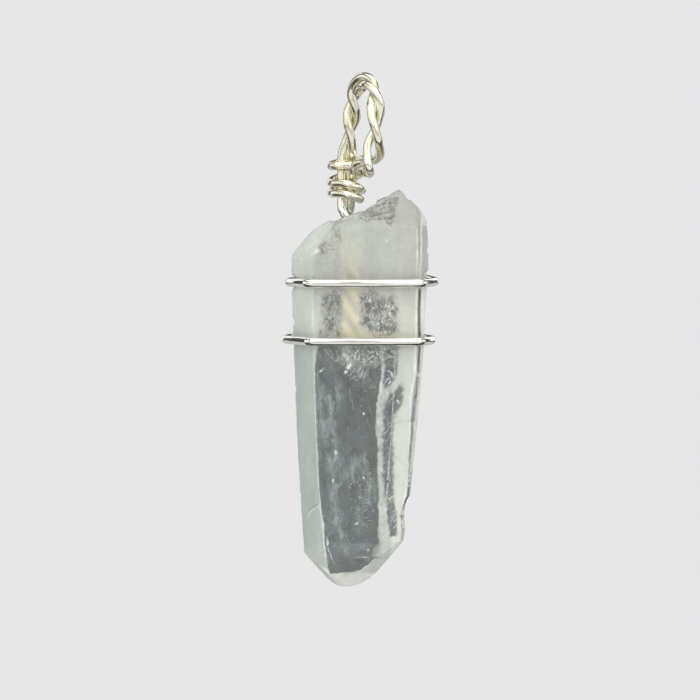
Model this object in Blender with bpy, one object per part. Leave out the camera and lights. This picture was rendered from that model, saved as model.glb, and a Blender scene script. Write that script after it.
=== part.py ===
"""Quartz pendant: a raw quartz point held by two wire bands, on a bail of twisted wire.

Run with: blender --background --python part.py
The front faces -Y, +X is to the right and +Z is up. The origin is the underside of the bail's arch, where a
chain bears.
"""
import math

import bmesh
import bpy
import numpy as np
from mathutils import Vector

MM = 0.001

# Wire
WIRE = 1.02 * MM  # diameter, 18 gauge
STRAND_GAP = 0.08 * MM  # between wires that lie together
STONE_GAP = 0.26 * MM  # between a wire and the crystal
END_GAP = 0.12 * MM  # between the two wires' ends, behind the crystal

# Crystal
CRYSTAL_WIDTH = 16.1 * MM
CRYSTAL_DEPTH = 9.8 * MM
CRYSTAL_HEIGHT = 46.2 * MM
CRYSTAL_SHIFT = -0.46 * MM  # its middle stands this far to the right of the bail's middle
RIDGE_SHARE = 0.9327  # height of the front ridge, as a share of the crystal's
HOLLOW_FALL = math.radians(9)  # slope of the hollow behind the front ridge, down to the back

# Bands
BAND_DROP = 7.8 * MM  # upper band below the crystal's front ridge
BAND_SPACING = 6.76 * MM
BAND_TILT = 0.75 * MM  # the back of a band is this much higher than its front
BAND_BEND = 1.25 * MM  # radius of its corners
BAND_BITE = 0.6 * MM  # how far the upper band sits in the notch in the crystal's left edge
NOTCH_REACH = 0.33  # the notch starts this far left of the crystal's middle, as a share of its width

# Bail, neck and stem
BAIL_RADIUS = 3.56 * MM  # of the arch, at the middle of the twisted pair
BAIL_RISE = 8.94 * MM  # the arch's middle line above the top of the neck
BAIL_TURN = math.radians(21.9)  # the bail's plane, turned from straight ahead to the right
NECK_WIRES = 5.35  # length of the neck, in wire diameters
NECK_CLEAR = 1.4 * MM  # from the neck down to the crystal's front ridge
NECK_BACK = 0.27 * MM  # the neck stands this far behind the crystal's back
STEM_SHIFT = -1.5 * MM  # the stem stands this far to the right of the bail's middle
STEM_LEAN = 1.3  # from here below the front ridge the stem leans to the neck, in wire diameters

# Where the strands join and leave the twisted pair, in turns from the neck, with those below it negative
STEM_START = -3.22  # both strands, at the lower band
STEM_STOP = -1.78  # the first wire's end, under the upper band
STEM_JOIN = -1.72  # the second wire, over the upper band
BAIL_STOP = 2.42  # both strands, at the bail's foot
END_ACROSS = (1.7, 1.3, 0.85)  # the first wire's end, to the left of the stem, in wire diameters

# Fineness of the wires
WIRE_SIDES = 10
CURVE_STEP = 0.16 * MM
MOST_BEND = math.radians(11)
LONGEST_RUN = 2.6 * MM

PAIR = (WIRE + STRAND_GAP) / 2  # from the middle of a twisted pair to each strand's centre
APART = WIRE + STRAND_GAP  # centre to centre of wires that lie together
CLEAR = WIRE / 2 + STONE_GAP  # from the crystal to a wire's centre
TWIST_REST = 0.71 * WIRE  # the stem's strands run straight this far each side of the upper band

neckTop = PAIR + WIRE / 2 - BAIL_RISE
neckFoot = neckTop - NECK_WIRES * WIRE
ridgeHeight = neckFoot - NECK_CLEAR
crystalFoot = ridgeHeight - RIDGE_SHARE * CRYSTAL_HEIGHT
upperBand = ridgeHeight - BAND_DROP
lowerBand = upperBand - BAND_SPACING
crystalBack = CRYSTAL_DEPTH / 2
stemBack = crystalBack + CLEAR + PAIR
neckBack = crystalBack + NECK_BACK
neckShift = -neckBack * math.tan(BAIL_TURN)

# Sections of the prism. up is the height, as a share of the crystal's. The others are the six edges, each
# from the left as a share of the width.
SECTIONS = [
    dict(up=0.819, left=0.001, frontLeft=0.152, frontRight=0.917, right=0.998, backRight=0.783, backLeft=0.181),
    dict(up=0.764, left=0.002, frontLeft=0.154, frontRight=0.915, right=0.992, backRight=0.775, backLeft=0.181),
    dict(up=0.618, left=0.016, frontLeft=0.167, frontRight=0.906, right=0.966, backRight=0.761, backLeft=0.188),
    dict(up=0.471, left=0.031, frontLeft=0.176, frontRight=0.895, right=0.932, backRight=0.725, backLeft=0.196),
    dict(up=0.363, left=0.046, frontLeft=0.188, frontRight=0.875, right=0.901, backRight=0.708, backLeft=0.203),
    dict(up=0.252, left=0.061, frontLeft=0.202, frontRight=0.845, right=0.869, backRight=0.692, backLeft=0.215),
    dict(up=0.118, left=0.090, frontLeft=0.240, frontRight=0.783, right=0.815, backRight=0.656, backLeft=0.250),
]
# How far back each edge lies, as a share of the depth.
EDGE_DEEP = dict(backLeft=0.97, left=0.45, frontLeft=0.0, frontRight=0.04, right=0.28, backRight=1.0)

# Corners of the broken top and of the chisel foot, as shares of the width, the depth and the height.
TOP_CORNERS = [
    dict(name="left shoulder", across=0.001, deep=0.45, up=0.835),
    dict(name="left chamfer", across=0.138, deep=0.42, up=0.895),
    dict(name="left ridge", across=0.206, deep=0.38, up=0.910),
    dict(name="wedge low", across=0.174, deep=0.00, up=0.8445),
    dict(name="wedge middle", across=0.212, deep=0.00, up=0.863),
    dict(name="wedge high", across=0.312, deep=0.04, up=0.9075),
    dict(name="ridge start", across=0.280, deep=0.28, up=0.926),
    dict(name="ridge low", across=0.362, deep=0.16, up=0.9264),
    dict(name="ridge peak", across=0.447, deep=0.15, up=0.9377),
    dict(name="ridge dip", across=0.544, deep=0.10, up=0.9276),
    dict(name="front crease", across=0.722, deep=0.03, up=0.915),
    dict(name="front corner", across=0.913, deep=0.04, up=0.908),
    dict(name="peak", across=0.788, deep=0.60, up=1.0),
    dict(name="peak left", across=0.681, deep=0.72, up=0.977),
    dict(name="peak step", across=0.601, deep=0.80, up=0.967),
    dict(name="right slope", across=0.888, deep=0.46, up=0.9705),
    dict(name="right bend", across=0.930, deep=0.42, up=0.954),
    dict(name="right shoulder", across=0.983, deep=0.31, up=0.930),
    dict(name="right side", across=0.997, deep=0.28, up=0.875),
    dict(name="back right", across=0.732, deep=0.98, up=0.945),
    dict(name="back middle", across=0.442, deep=0.98, up=0.910),
    dict(name="back left", across=0.210, deep=0.97, up=0.867),
]
FOOT_CORNERS = [
    dict(name="front left", across=0.275, deep=0.05, up=0.035),
    dict(name="front middle", across=0.497, deep=0.05, up=0.0416),
    dict(name="front right", across=0.616, deep=0.05, up=0.0756),
    dict(name="left end", across=0.094, deep=0.45, up=0.086),
    dict(name="chisel left", across=0.280, deep=0.45, up=0.0164),
    dict(name="chisel low", across=0.341, deep=0.47, up=0.0018),
    dict(name="chisel foot", across=0.413, deep=0.48, up=0.0),
    dict(name="chisel middle", across=0.497, deep=0.48, up=0.006),
    dict(name="chisel high", across=0.599, deep=0.47, up=0.027),
    dict(name="right end", across=0.779, deep=0.40, up=0.106),
    dict(name="back low left", across=0.304, deep=0.93, up=0.068),
    dict(name="back low right", across=0.572, deep=0.93, up=0.086),
]
# Profile of the hollow behind the front ridge, open upwards.
HOLLOW = [
    dict(across=0.27, up=0.927),
    dict(across=0.38, up=0.918),
    dict(across=0.478, up=0.934),
    dict(across=0.558, up=0.960),
    dict(across=0.615, up=0.973),
    dict(across=0.615, up=1.1),
    dict(across=0.27, up=1.1),
]
HOLLOW_START = 0.24  # as a share of the depth

# Middle line of the bail's pair. along is in arch radii from the bail's middle, towards the front leg. up is
# the height over the neck as a share of the bail's rise. turns counts the twist, and spread widens the pair.
BAIL_ROUTE = [
    dict(along=-1.44, up=0.10, turns=0.08, spread=1.08),
    dict(along=-1.30, up=0.235, turns=0.19, spread=1.0),
    dict(along=-1.14, up=0.45, turns=0.42, spread=1.0),
    dict(along=-1.02, up=0.64, turns=0.67, spread=1.0),
    dict(along=-0.79, up=0.86, turns=0.95, spread=1.0),
    dict(along=-0.43, up=0.965, turns=1.11, spread=1.0),
    dict(along=0.0, up=1.0, turns=1.27, spread=1.0),
    dict(along=0.43, up=0.965, turns=1.45, spread=1.0),
    dict(along=0.79, up=0.86, turns=1.68, spread=1.0),
    dict(along=1.0, up=0.69, turns=1.91, spread=1.04),
    dict(along=1.0, up=0.495, turns=2.09, spread=1.08),
    dict(along=0.95, up=0.287, turns=2.27, spread=1.1),
    dict(along=0.81, up=0.12, turns=2.47, spread=1.3),
]
# The second wire's way from the bail's front leg back to the neck, from the bail's foot: right, back and up
# in wire diameters.
FOOT_RETURN = [
    dict(right=2.42, back=-7.84, up=0.0),
    dict(right=2.53, back=-8.05, up=-0.8),
    dict(right=2.70, back=-7.63, up=-1.5),
    dict(right=2.67, back=-6.63, up=-1.75),
    dict(right=2.5, back=-4.84, up=-1.72),
    dict(right=2.3, back=-3.37, up=-1.55),
    dict(right=2.28, back=-2.21, up=-0.9),
    dict(right=2.08, back=-1.15, up=-0.3),
]
# Its turns round the neck. around is in turns from the right side, by the back. down is in wire diameters
# below the top of the neck, and outer counts the hook among what the turn goes round.
NECK_TURNS = [
    dict(around=0.0, down=0.12, outer=False),
    dict(around=0.25, down=0.42, outer=False),
    dict(around=0.5, down=0.80, outer=False),
    dict(around=0.75, down=0.80, outer=False),
    dict(around=0.82, down=0.95, outer=False),
    dict(around=1.0, down=1.62, outer=False),
    dict(around=1.25, down=2.06, outer=True),
    dict(around=1.5, down=2.66, outer=True),
    dict(around=1.75, down=3.05, outer=True),
    dict(around=2.0, down=3.56, outer=True),
    dict(around=2.25, down=3.66, outer=True),
    dict(around=2.5, down=3.80, outer=True),
    dict(around=2.75, down=4.25, outer=True),
    dict(around=2.97, down=4.78, outer=True),
]
# The first wire's hook, from the bail's front leg over the neck's first turn and down behind the others, from
# the middle of the neck's top: right, back and up in wire diameters.
HOOK = [
    dict(right=3.85, back=-6.94, up=0.35),
    dict(right=3.45, back=-5.89, up=-0.15),
    dict(right=2.7, back=-4.68, up=-0.35),
    dict(right=1.85, back=-3.47, up=-0.42),
    dict(right=1.08, back=-2.63, up=-0.72),
    dict(right=0.86, back=-2.26, up=-1.3),
    dict(right=0.76, back=-1.74, up=-1.95),
    dict(right=0.72, back=-1.25, up=-2.5),
    dict(right=0.62, back=-1.12, up=-3.1),
    dict(right=0.58, back=-1.12, up=-4.3),
]
HOOK_REST = (0.58, -1.12)  # where the hook lies inside the neck's turns: right and back


def mix(a, b, share):
    return a + (b - a) * share


def crystalPoint(across, deep, up):
    return Vector((
        CRYSTAL_SHIFT + (across - 0.5) * CRYSTAL_WIDTH,
        (deep - 0.5) * CRYSTAL_DEPTH,
        crystalFoot + up * CRYSTAL_HEIGHT,
    ))


def edgeAt(edge, height):
    """Where an upright edge of the prism is at a height: right and back."""
    rows = SECTIONS[::-1]
    up = (height - crystalFoot) / CRYSTAL_HEIGHT
    across = np.interp(up, [row["up"] for row in rows], [row[edge] for row in rows])
    point = crystalPoint(across, EDGE_DEEP[edge], up)
    return np.array((point.x, point.y))


def curveThrough(rows, step):
    """Rows along a smooth curve through the given ones, whose first three columns are a place."""
    rows = np.array(rows, float)
    gaps = np.linalg.norm(np.diff(rows[:, :3], axis=0), axis=1)
    along = np.concatenate([[0], np.cumsum(gaps)])
    slopes = np.gradient(rows, along, axis=0)
    found = []
    for i, gap in enumerate(gaps):
        count = max(2, math.ceil(gap / step))
        t = (np.arange(count) / count)[:, None]
        start = (1 + 2 * t) * (1 - t) ** 2 * rows[i] + t * (1 - t) ** 2 * gap * slopes[i]
        end = t**2 * (3 - 2 * t) * rows[i + 1] + t**2 * (t - 1) * gap * slopes[i + 1]
        found.extend(start + end)
    found.append(rows[-1])
    return np.array(found)


def thinned(points):
    """The points that a wire needs: more in its bends, few on its straight runs."""
    steps = np.diff(points, axis=0)
    lengths = np.linalg.norm(steps, axis=1)
    headings = steps / lengths[:, None]
    kept = [points[0]]
    turned = 0.0
    run = 0.0
    for i in range(1, len(points) - 1):
        turned += math.acos(min(1.0, float(headings[i - 1] @ headings[i])))
        run += lengths[i - 1]
        if turned >= MOST_BEND or run >= LONGEST_RUN:
            kept.append(points[i])
            turned = 0.0
            run = 0.0
    kept.append(points[-1])
    return np.array(kept)


def bandCorners(front, bite):
    """The six corners of a band's plan, with the crystal's own clearance, from the back by the left side."""
    corners = []
    for edge, deep in EDGE_DEEP.items():
        corner = edgeAt(edge, front + BAND_TILT * deep)
        if edge == "left":
            corner[0] += bite
        corners.append(corner)
    moved = []
    for i, corner in enumerate(corners):
        before = corner - corners[i - 1]
        after = corners[(i + 1) % len(corners)] - corner
        before /= np.linalg.norm(before)
        after /= np.linalg.norm(after)
        outward = np.array((-before[1] - after[1], before[0] + after[0]))
        outward /= -np.linalg.norm(outward)
        across = math.sqrt((1 + float(before @ after)) / 2)
        moved.append(corner + outward * CLEAR / across)
    return moved


def roundedCorner(before, corner, after):
    """Plan points of a bend at a corner between two straight runs."""
    heading = (corner - before) / np.linalg.norm(corner - before)
    leaving = (after - corner) / np.linalg.norm(after - corner)
    turn = math.acos(float(heading @ leaving))
    reach = BAND_BEND * math.tan(turn / 2)
    start = corner - heading * reach
    inward = (leaving - heading * float(heading @ leaving)) / math.sin(turn)
    centre = start + inward * BAND_BEND
    angles = np.linspace(0, turn, 5)
    return [centre - inward * BAND_BEND * math.cos(a) + heading * BAND_BEND * math.sin(a) for a in angles]


def bandRoute(front, bite, rise):
    """Centre line of a band, from the stem by the left side, the front and the right side back to the stem.
    rise lifts its right end behind the crystal over its left end."""
    corners = bandCorners(front, bite)
    backLeft, backRight = corners[0], corners[-1]
    stem = mix(backLeft, backRight, (STEM_SHIFT - backLeft[0]) / (backRight[0] - backLeft[0]))
    plan = [stem, *corners, stem]
    flat = []
    for i in range(1, len(plan) - 1):
        flat.extend(roundedCorner(plan[i - 1], plan[i], plan[i + 1]))
    frontSide = min(point[1] for point in flat)
    backSide = max(point[1] for point in flat)
    found = []
    for point in flat:
        deep = (point[1] - frontSide) / (backSide - frontSide)
        side = math.copysign(rise / 2, point[0] - STEM_SHIFT)
        found.append((*point, front + BAND_TILT * deep + side * deep**2))
    return stem, found


def bailPoint(along, up):
    return (
        along * math.sin(BAIL_TURN),
        -along * math.cos(BAIL_TURN),
        neckTop + up * BAIL_RISE,
    )


def pairRoute():
    """Middle line of the twisted pair from the lower band to the bail's foot. Each row holds its place, its
    turns, its spread, and how far its side faces the bail's plane."""
    lowJoint = lowerBand + BAND_TILT
    highJoint = upperBand + BAND_TILT
    lowTwist = lowJoint + 0.35 * WIRE
    lean = ridgeHeight - STEM_LEAN * WIRE
    rows = [
        (STEM_SHIFT, stemBack, lowJoint - 0.3 * WIRE, -3.4, 1, 0),
        (STEM_SHIFT, stemBack, lowTwist, -3.25, 1, 0),
        (STEM_SHIFT, stemBack, mix(lowTwist, highJoint - TWIST_REST, 0.5), -2.5, 1, 0),
        (STEM_SHIFT, stemBack, highJoint - TWIST_REST, -1.75, 1, 0),
        (STEM_SHIFT, stemBack, highJoint + TWIST_REST, -1.75, 1, 0),
        (STEM_SHIFT, stemBack, mix(highJoint + TWIST_REST, lean, 0.5), -1.15, 1, 0),
        (mix(STEM_SHIFT, neckShift, 0.3), mix(stemBack, neckBack, 0.1), lean, -0.55, 1, 0),
        (mix(STEM_SHIFT, neckShift, 0.75), mix(stemBack, neckBack, 0.5), ridgeHeight, -0.27, 1, 0),
        (neckShift, mix(stemBack, neckBack, 0.9), neckFoot, -0.03, 1, 0),
        (neckShift, neckBack, mix(neckFoot, neckTop, 0.33), 0, 1, 0),
        (neckShift, neckBack, mix(neckFoot, neckTop, 0.67), 0, 1, 0),
        (neckShift, neckBack, neckTop, 0.0, 1, 0),
    ]
    for row in BAIL_ROUTE:
        place = bailPoint(row["along"] * BAIL_RADIUS, row["up"])
        facing = min(1, 3 * row["up"]) if row["along"] < 0 else 1
        rows.append((*place, row["turns"], row["spread"], facing))
    return curveThrough(rows, CURVE_STEP)


def strand(pair, phase, first, last):
    """Centre line of one strand of the pair, between two counts of turns."""
    heading = np.gradient(pair[:, :3], axis=0)
    heading /= np.linalg.norm(heading, axis=1)[:, None]
    facing = pair[:, 5] * BAIL_TURN
    side = np.stack([np.cos(facing), np.sin(facing), np.zeros(len(pair))], axis=1)
    outer = np.cross(heading, side)
    outer /= np.linalg.norm(outer, axis=1)[:, None]
    side = np.cross(outer, heading)
    angle = -2 * math.pi * (pair[:, 3] + phase)
    arm = (PAIR * pair[:, 4])[:, None]
    line = pair[:, :3] + arm * (np.cos(angle)[:, None] * side + np.sin(angle)[:, None] * outer)
    inside = (pair[:, 3] >= first) & (pair[:, 3] <= last)
    return line[inside][::3]


def neckTurn(around, down, outer):
    """A point of a turn drawn tight round the neck's strands, and round the hook too where outer is set."""
    angle = 2 * math.pi * around
    direction = np.array((math.cos(angle), math.sin(angle)))
    strands = [np.array((-PAIR, 0)), np.array((PAIR, 0))]
    if outer:
        strands.append(np.array(HOOK_REST) * WIRE)
    held = max(strands, key=lambda centre: float(centre @ direction))
    place = held + direction * (APART + 0.07 * WIRE)
    return (neckShift + place[0], neckBack + place[1], neckTop - down * WIRE)


def neckRoute():
    rows = np.array([(row["around"], row["down"], row["outer"]) for row in NECK_TURNS], float)
    arounds = np.arange(rows[0, 0], rows[-1, 0], 1 / 16)
    downs = np.interp(arounds, rows[:, 0], rows[:, 1])
    outers = np.interp(arounds, rows[:, 0], rows[:, 2]) > 0.5
    return [neckTurn(*values) for values in zip(arounds, downs, outers)]


def offsetsFrom(rows):
    return [
        (neckShift + row["right"] * WIRE, neckBack + row["back"] * WIRE, neckTop + row["up"] * WIRE)
        for row in rows
    ]


def lowerWireRoute(pair):
    """The first wire: from its end behind the crystal down the stem, round the lower band, up the stem, neck
    and bail, and into the hook."""
    near = stemBack - PAIR
    far = stemBack + PAIR
    joint = upperBand + BAND_TILT - APART / 2
    back = lowerBand + BAND_TILT
    end = [(STEM_SHIFT - across * WIRE, near, joint) for across in END_ACROSS]
    down = strand(pair, 0, STEM_START, STEM_STOP)[::-1]
    _, band = bandRoute(lowerBand, 0, 0)
    under = [
        (STEM_SHIFT - 0.75 * WIRE, mix(near, far, 0.95), back + 0.06 * WIRE),
        (STEM_SHIFT - 1.6 * WIRE, mix(near, far, 0.6), back),
        (STEM_SHIFT - 2.6 * WIRE, mix(near, far, 0.1), back),
    ]
    over = [
        (STEM_SHIFT + 1.6 * WIRE, near, back),
        (STEM_SHIFT + 0.8 * WIRE, near, back + 0.05 * WIRE),
    ]
    up = strand(pair, 0.5, STEM_START, BAIL_STOP)
    return [*end, *down, *under, *band, *over, *up, *offsetsFrom(HOOK)]


def upperWireRoute(pair):
    """The second wire: from its end behind the crystal round the upper band, up the stem, neck and bail, back
    from the bail's foot and round the neck."""
    near = stemBack - PAIR
    back = upperBand + BAND_TILT
    start = STEM_SHIFT - END_ACROSS[0] * WIRE - END_GAP
    end = [(start, near, back - APART / 2), (start - 0.6 * WIRE, near, back - APART / 2)]
    _, band = bandRoute(upperBand, BAND_BITE, APART)
    over = [
        (STEM_SHIFT + 1.6 * WIRE, near, back + APART / 2),
        (STEM_SHIFT + 0.85 * WIRE, near, back + APART / 2),
    ]
    up = strand(pair, 0, STEM_JOIN, BAIL_STOP)
    return [*end, *band, *over, *up, *offsetsFrom(FOOT_RETURN), *neckRoute()]


def wireCurve(name, points, diameter, collection):
    data = bpy.data.curves.new(name, "CURVE")
    data.dimensions = "3D"
    data.bevel_depth = diameter / 2
    data.bevel_resolution = WIRE_SIDES // 2 - 2
    data.use_fill_caps = True
    spline = data.splines.new("POLY")
    spline.points.add(len(points) - 1)
    for point, place in zip(spline.points, points):
        point.co = (*place, 1)
    spline.use_smooth = True
    curve = bpy.data.objects.new(name, data)
    collection.objects.link(curve)
    return curve


def asMesh(curve, collection):
    """The curve made a closed mesh object, its caps joined to its sides."""
    graph = bpy.context.evaluated_depsgraph_get()
    mesh = bpy.data.meshes.new_from_object(curve.evaluated_get(graph))
    shape = bmesh.new()
    shape.from_mesh(mesh)
    bmesh.ops.remove_doubles(shape, verts=shape.verts, dist=1e-6)
    shape.to_mesh(mesh)
    shape.free()
    name = curve.name
    bpy.data.objects.remove(curve)
    solid = bpy.data.objects.new(name, mesh)
    collection.objects.link(solid)
    return solid


def crystalBody(collection):
    """The crystal before its hollow and its notch are cut: flat faces between its corners."""
    shape = bmesh.new()
    for row in SECTIONS:
        for edge, deep in EDGE_DEEP.items():
            shape.verts.new(crystalPoint(row[edge], deep, row["up"]))
    for row in TOP_CORNERS + FOOT_CORNERS:
        shape.verts.new(crystalPoint(row["across"], row["deep"], row["up"]))
    hull = bmesh.ops.convex_hull(shape, input=shape.verts)
    inner = [item for item in hull["geom_interior"] if isinstance(item, bmesh.types.BMVert)]
    bmesh.ops.delete(shape, geom=inner, context="VERTS")
    bmesh.ops.recalc_face_normals(shape, faces=shape.faces)
    mesh = bpy.data.meshes.new("crystal")
    shape.to_mesh(mesh)
    shape.free()
    body = bpy.data.objects.new("crystal", mesh)
    collection.objects.link(body)
    return body


def hollowCutter(collection):
    """A trough that runs from behind the front ridge out through the back."""
    length = 1.2 * CRYSTAL_DEPTH
    shape = bmesh.new()
    corners = [shape.verts.new(crystalPoint(row["across"], HOLLOW_START, row["up"])) for row in HOLLOW]
    face = shape.faces.new(corners)
    grown = bmesh.ops.extrude_face_region(shape, geom=[face])
    far = [item for item in grown["geom"] if isinstance(item, bmesh.types.BMVert)]
    bmesh.ops.translate(shape, verts=far, vec=(0, length, -length * math.tan(HOLLOW_FALL)))
    bmesh.ops.recalc_face_normals(shape, faces=shape.faces)
    mesh = bpy.data.meshes.new("hollow_cutter")
    shape.to_mesh(mesh)
    shape.free()
    cutter = bpy.data.objects.new("hollow_cutter", mesh)
    collection.objects.link(cutter)
    return cutter


def notchCutter(route, collection):
    """The upper band's own path past the crystal's left edge, with its clearance."""
    start = CRYSTAL_SHIFT - NOTCH_REACH * CRYSTAL_WIDTH
    points = [point for point in route if point[0] < start]
    line = thinned(curveThrough(points, CURVE_STEP))
    return asMesh(wireCurve("notch_cutter", line, 2 * CLEAR, collection), collection)


def cut(body, cutter):
    modifier = body.modifiers.new(cutter.name, "BOOLEAN")
    modifier.operation = "DIFFERENCE"
    modifier.solver = "EXACT"
    modifier.object = cutter
    cutter.hide_render = True
    cutter.display_type = "WIRE"


def material(name, colour, roughness, metallic):
    made = bpy.data.materials.new(name)
    made.use_nodes = True
    shader = made.node_tree.nodes["Principled BSDF"]
    shader.inputs["Base Color"].default_value = (*colour, 1)
    shader.inputs["Roughness"].default_value = roughness
    shader.inputs["Metallic"].default_value = metallic
    return made


def emptyScene():
    for item in list(bpy.data.objects):
        bpy.data.objects.remove(item)


def newCollection(name):
    collection = bpy.data.collections.new(name)
    bpy.context.scene.collection.children.link(collection)
    return collection


def build():
    emptyScene()
    parts = newCollection("quartz_pendant")
    cutters = newCollection("cutters")

    crystal = crystalBody(parts)
    cut(crystal, hollowCutter(cutters))
    _, band = bandRoute(upperBand, BAND_BITE, APART)
    cut(crystal, notchCutter(band, cutters))
    quartz = material("quartz", (0.72, 0.74, 0.72), 0.12, 0.0)
    crystal.data.materials.append(quartz)

    silver = material("silver_wire", (0.90, 0.88, 0.83), 0.16, 1.0)
    pair = pairRoute()
    routes = dict(lower_wire=lowerWireRoute(pair), upper_wire=upperWireRoute(pair))
    bail = bpy.data.objects.new("bail_seat", None)
    parts.objects.link(bail)
    crystal.parent = bail
    for name, route in routes.items():
        wire = wireCurve(name, thinned(curveThrough(route, CURVE_STEP)), WIRE, parts)
        wire.data.materials.append(silver)
        wire.parent = bail
    return routes


routes = build()
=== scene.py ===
# Quartz pendant: a raw quartz point on a bail of twisted silver wire, dressed for the camera.
import math

import bmesh
import bpy
import numpy as np
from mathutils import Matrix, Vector, noise
from mathutils.bvhtree import BVHTree
from mathutils.kdtree import KDTree


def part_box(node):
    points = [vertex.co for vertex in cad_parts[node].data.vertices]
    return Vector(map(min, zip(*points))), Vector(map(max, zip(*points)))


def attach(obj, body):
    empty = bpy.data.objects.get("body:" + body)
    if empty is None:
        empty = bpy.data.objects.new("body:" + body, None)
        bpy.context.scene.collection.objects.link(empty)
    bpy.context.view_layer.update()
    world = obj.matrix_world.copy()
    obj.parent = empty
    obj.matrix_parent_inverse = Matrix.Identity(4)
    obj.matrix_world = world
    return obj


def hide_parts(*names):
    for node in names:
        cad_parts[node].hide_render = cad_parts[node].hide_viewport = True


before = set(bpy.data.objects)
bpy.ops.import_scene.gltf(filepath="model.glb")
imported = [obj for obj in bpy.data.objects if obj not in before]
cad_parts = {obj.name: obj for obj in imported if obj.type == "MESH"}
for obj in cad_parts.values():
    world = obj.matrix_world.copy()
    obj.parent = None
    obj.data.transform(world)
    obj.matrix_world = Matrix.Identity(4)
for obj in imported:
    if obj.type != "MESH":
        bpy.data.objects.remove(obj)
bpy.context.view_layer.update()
mm = 0.001

# The photograph is 700 pixels square. The bail's inner top, the frame's origin, is at this pixel.
photo = dict(
    size=700,
    originX=364.0,
    originY=90.4,
    scale=0.1165,  # millimetres to a pixel
)


def photoX(x):
    # Millimetres right of the bail's middle.
    return (x - photo["originX"]) * photo["scale"]


def photoZ(y):
    return (photo["originY"] - y) * photo["scale"]


def say(text):
    print("pendant:", text)


def newObject(name, data):
    # An object for the data, put in the scene.
    made = bpy.data.objects.new(name, data)
    bpy.context.scene.collection.objects.link(made)
    return made


# Nodes and trees

def feed(tree, node, values):
    # Each input, by its name or its number, gets its value or a link to it.
    for name, value in values.items():
        socket = node.inputs[name]
        if isinstance(value, bpy.types.NodeSocket):
            tree.links.new(value, socket)
        else:
            socket.default_value = (*value, 1) if socket.type == "RGBA" else value


def addNode(tree, kind, values=None, **settings):
    made = tree.nodes.new(kind)
    for name, value in settings.items():
        setattr(made, name, value)
    feed(tree, made, values or {})
    return made


def maths(tree, operation, *values, clamp=False):
    inputs = dict(enumerate(values))
    return addNode(tree, "ShaderNodeMath", inputs, operation=operation, use_clamp=clamp).outputs[0]


def times(tree, first, second):
    return maths(tree, "MULTIPLY", first, second)


def ranged(tree, value, low, high, toLow=0.0, toHigh=1.0, smooth=True):
    made = addNode(
        tree,
        "ShaderNodeMapRange",
        {"Value": value, "From Min": low, "From Max": high, "To Min": toLow, "To Max": toHigh},
        interpolation_type="SMOOTHSTEP" if smooth else "LINEAR",
    )
    return made.outputs["Result"]


def mixedColour(tree, factor, first, second):
    # The node's colours are its inputs 6 and 7 and its output 2.
    made = addNode(tree, "ShaderNodeMix", {0: factor, 6: first, 7: second}, data_type="RGBA")
    return made.outputs[2]


def newMaterial(name):
    made = bpy.data.materials.new(name)
    made.use_nodes = True
    tree = made.node_tree
    return made, tree, tree.nodes["Principled BSDF"]


def noiseAt(tree, place, size, detail=3.0, stretch=(1, 1, 1), distort=0.0, lean=0.0):
    # Noise whose features are about size millimetres, stretched by the factors given and
    # leaning by some degrees.
    if lean:
        place = addNode(
            tree, "ShaderNodeMapping", {"Vector": place, "Rotation": (0, math.radians(lean), 0)}
        ).outputs[0]
    mapping = addNode(tree, "ShaderNodeMapping", {"Vector": place, "Scale": [1 / s for s in stretch]})
    made = addNode(
        tree,
        "ShaderNodeTexNoise",
        {"Vector": mapping.outputs[0], "Scale": 1 / (size * mm), "Detail": detail, "Distortion": distort},
    )
    return made.outputs["Fac"]


def attribute(tree, name):
    return addNode(tree, "ShaderNodeAttribute", attribute_name=name).outputs["Fac"]


def objectPlace(tree):
    return addNode(tree, "ShaderNodeTexCoord").outputs["Object"]


def newTree(name, inputs):
    # A geometry nodes tree with a mesh and the inputs named by kind, and what they give.
    tree = bpy.data.node_groups.new(name, "GeometryNodeTree")
    face = tree.interface
    face.new_socket("Geometry", in_out="INPUT", socket_type="NodeSocketGeometry")
    for kind, names in inputs.items():
        for title in names:
            face.new_socket(title, in_out="INPUT", socket_type="NodeSocket" + kind)
    face.new_socket("Geometry", in_out="OUTPUT", socket_type="NodeSocketGeometry")
    return tree, tree.nodes.new("NodeGroupInput").outputs


def endTree(tree, geometry, material):
    # The tree ends with real geometry in its material.
    real = addNode(tree, "GeometryNodeRealizeInstances", {"Geometry": geometry})
    look = addNode(tree, "GeometryNodeSetMaterial", {"Geometry": real.outputs[0], "Material": material})
    out = tree.nodes.new("NodeGroupOutput")
    tree.links.new(look.outputs[0], out.inputs[0])
    return tree


# Crystal

crystal = dict(
    mesh=0.17,  # millimetres between the fine mesh's points
    edgeAngle=13,  # degrees, from where an edge counts as an edge
    edgeStep=0.1,  # millimetres between the points taken along an edge
    edgeRound=0.14,  # millimetres
    edgeWearAndHighlight=0.15,  # millimetres that the pale edge wear and its painted edge highlight reach from an edge
    waves=0.035,  # height of the slow waves in the faces, in millimetres
    striae=0.008,  # depth of the fine growth lines across the sides
    striaeLong=6,  # times as long as they are high
    chips=170,  # small random chips along the edges
    chipLeast=0.16,  # a chip's least radius, and what chance adds to it
    chipMore=0.42,
    chipDeep=0.22,  # of its radius
    breakRow=252,  # row of the photograph over which the top is broken
    breakRelief=0.16,  # depth of the shell-shaped marks there
    hollow=0.35,  # millimetres that the broken hollow in the top goes in
    tipRise=0.17,  # millimetres that the blunted top is drawn up again
    frontBefore=-1.5,  # what lies before this, in millimetres, counts as the front's edge
    seed=11,
    warmColour=(0.49, 0.503, 0.448),
    coolColour=(0.44, 0.487, 0.466),
    creamColour=(0.63, 0.58, 0.385),
    clearColour=(0.85, 0.91, 0.91),
    hazeColour=(0.375, 0.44, 0.432),
    # pale colour of edge wear, cracks and flecks, and of painted highlights and glints
    paleWearAndHighlightColour=(0.80, 0.82, 0.80),
    index=1.544,
)

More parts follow.
